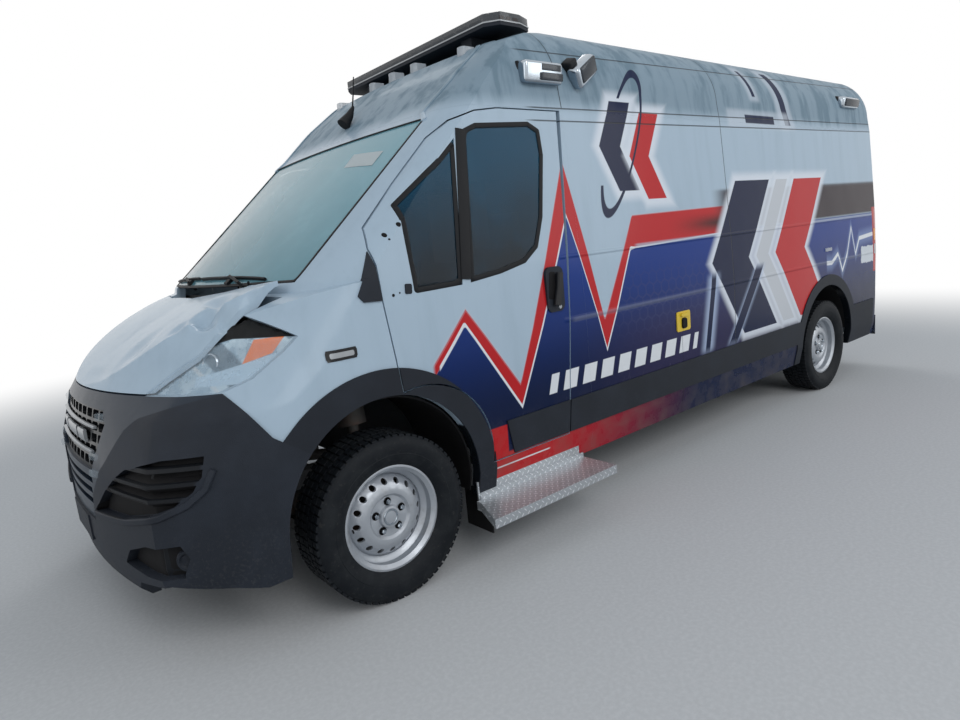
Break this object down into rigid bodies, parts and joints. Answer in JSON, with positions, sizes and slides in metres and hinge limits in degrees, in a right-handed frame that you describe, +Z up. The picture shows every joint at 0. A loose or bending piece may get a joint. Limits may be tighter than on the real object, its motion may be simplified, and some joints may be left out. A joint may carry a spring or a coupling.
{
  "type": "van ambulance",
  "caption": "High-roof panel van ambulance with hinged cab and rear doors, bonnet, steered front wheels, light bar and side steps.",
  "frame": {"origin": "on the ground under the middle of the van's length and width", "axes": "+X forward, +Y to the driver's (left) side, +Z up"},
  "size_m": [5.998, 2.43, 2.4955],
  "materials": {
    "white_paint": "gloss white, weathered",
    "tinted_glass": "tinted",
    "dark_plastic": "grained dark plastic",
    "grey_plastic": "grained grey plastic",
    "tyre_rubber": "worn",
    "wheel_silver": "silver paint",
    "cast_metal": "rough, rusted",
    "chassis_steel": "dark underbody paint",
    "tread_plate": "diamond pattern",
    "bright_steel": "polished",
    "clear_lens": "clear lamp lens",
    "amber_lens": "amber lamp lens",
    "red_lens": "red lamp lens",
    "yellow_plastic": "yellow cover",
    "seat_fabric": "woven",
    "cabinet_white": "smooth laminate",
    "floor_grey": "vinyl covered"
  },
  "bodies": {
    "root": {"body_trim": "dark_plastic", "bulkheads": "grey_plastic", "cab_frame": "white_paint", "dashboard": "dark_plastic", "engine": "cast_metal", "exhaust": "chassis_steel", "fenders": "white_paint", "floor_pan": "floor_grey", "front_bumper": "dark_plastic", "front_carrier": "chassis_steel", "front_struts": "cast_metal", "front_subframe": "chassis_steel", "fuel_tank": "chassis_steel", "furniture": "cabinet_white", "grille": "dark_plastic", "headlamps": "clear_lens", "light_bar": "dark_plastic", "light_bar_lens": "clear_lens", "nose_panel": "grey_plastic", "power_inlet": "yellow_plastic", "rear_axle": "cast_metal", "rear_bumper": "bright_steel", "rear_door_hinges": "chassis_steel", "roof_markers": "amber_lens", "roof_panel": "white_paint", "seats": "seat_fabric", "side_lamps": "clear_lens", "side_panel_left": "white_paint", "side_panel_right": "white_paint", "sliding_door": "white_paint", "sliding_door_glass": "tinted_glass", "steps": "tread_plate", "tail_lamps": "red_lens", "wheel_liners": "dark_plastic", "windscreen": "tinted_glass"},
    "left_door": {"door_left": "white_paint", "door_glass_left": "tinted_glass", "door_trim_left": "dark_plastic"},
    "right_door": {"door_right": "white_paint", "door_glass_right": "tinted_glass", "door_trim_right": "dark_plastic"},
    "left_rear_door": {"rear_door_left": "white_paint", "rear_glass_left": "tinted_glass"},
    "right_rear_door": {"rear_door_right": "white_paint", "rear_glass_right": "tinted_glass"},
    "hood": {"bonnet": "white_paint"},
    "left_knuckle": {"knuckle_left": "cast_metal"},
    "right_knuckle": {"knuckle_right": "cast_metal"},
    "steering": {"steering_wheel": "dark_plastic"},
    "wheel_front_left": {"rim_front_left": "wheel_silver", "tyre_front_left": "tyre_rubber"},
    "wheel_front_right": {"rim_front_right": "wheel_silver", "tyre_front_right": "tyre_rubber"},
    "wheel_rear_left": {"rim_rear_left": "wheel_silver", "tyre_rear_left": "tyre_rubber"},
    "wheel_rear_right": {"rim_rear_right": "wheel_silver", "tyre_rear_right": "tyre_rubber"}
  },
  "joints": [
    {"name": "left_door_hinge", "type": "hinge", "parent": "root", "child": "left_door", "pos_m": [1.992, 1.031, 1.10745], "axis": [0, 0, -1], "range_deg": [0, 70]},
    {"name": "right_door_hinge", "type": "hinge", "parent": "root", "child": "right_door", "pos_m": [1.992, -1.031, 1.10745], "axis": [0, 0, 1], "range_deg": [0, 70]},
    {"name": "left_rear_door_hinge", "type": "hinge", "parent": "root", "child": "left_rear_door", "pos_m": [-2.968, 0.94, 1.05745], "axis": [0, 0, -1], "range_deg": [0, 180]},
    {"name": "right_rear_door_hinge", "type": "hinge", "parent": "root", "child": "right_rear_door", "pos_m": [-2.968, -0.94, 1.05745], "axis": [0, 0, 1], "range_deg": [0, 180]},
    {"name": "bonnet_hinge", "type": "hinge", "parent": "root", "child": "hood", "pos_m": [2.14, 0, 1.29745], "axis": [0, -1, 0], "range_deg": [0, 60]},
    {"name": "left_steer", "type": "hinge", "parent": "root", "child": "left_knuckle", "pos_m": [2.051, 0.83, 0.19745], "axis": [0, -0.1745, 0.9847], "range_deg": [-35, 35]},
    {"name": "right_steer", "type": "hinge", "parent": "root", "child": "right_knuckle", "pos_m": [2.051, -0.83, 0.19745], "axis": [0, 0.1745, 0.9847], "range_deg": [-35, 35]},
    {"name": "steering_wheel_turn", "type": "hinge", "parent": "root", "child": "steering", "pos_m": [1.5393, 0.515, 1.14106], "axis": [-0.8713, 0, 0.4907], "range_deg": [-500, 500]},
    {"name": "front_left_spin", "type": "hinge", "parent": "left_knuckle", "child": "wheel_front_left", "pos_m": [2.051, 0.905, 0.34945], "axis": [0, 1, 0], "continuous": true},
    {"name": "front_right_spin", "type": "hinge", "parent": "right_knuckle", "child": "wheel_front_right", "pos_m": [2.051, -0.905, 0.34945], "axis": [0, 1, 0], "continuous": true},
    {"name": "rear_left_spin", "type": "hinge", "parent": "root", "child": "wheel_rear_left", "pos_m": [-1.984, 0.895, 0.34945], "axis": [0, 1, 0], "continuous": true},
    {"name": "rear_right_spin", "type": "hinge", "parent": "root", "child": "wheel_rear_right", "pos_m": [-1.984, -0.895, 0.34945], "axis": [0, 1, 0], "continuous": true}
  ],
  "couplings": [
    {"joint": "right_steer", "follows": "left_steer", "ratio": 1},
    {"joint": "steering_wheel_turn", "follows": "left_steer", "ratio": 14}
  ]
}
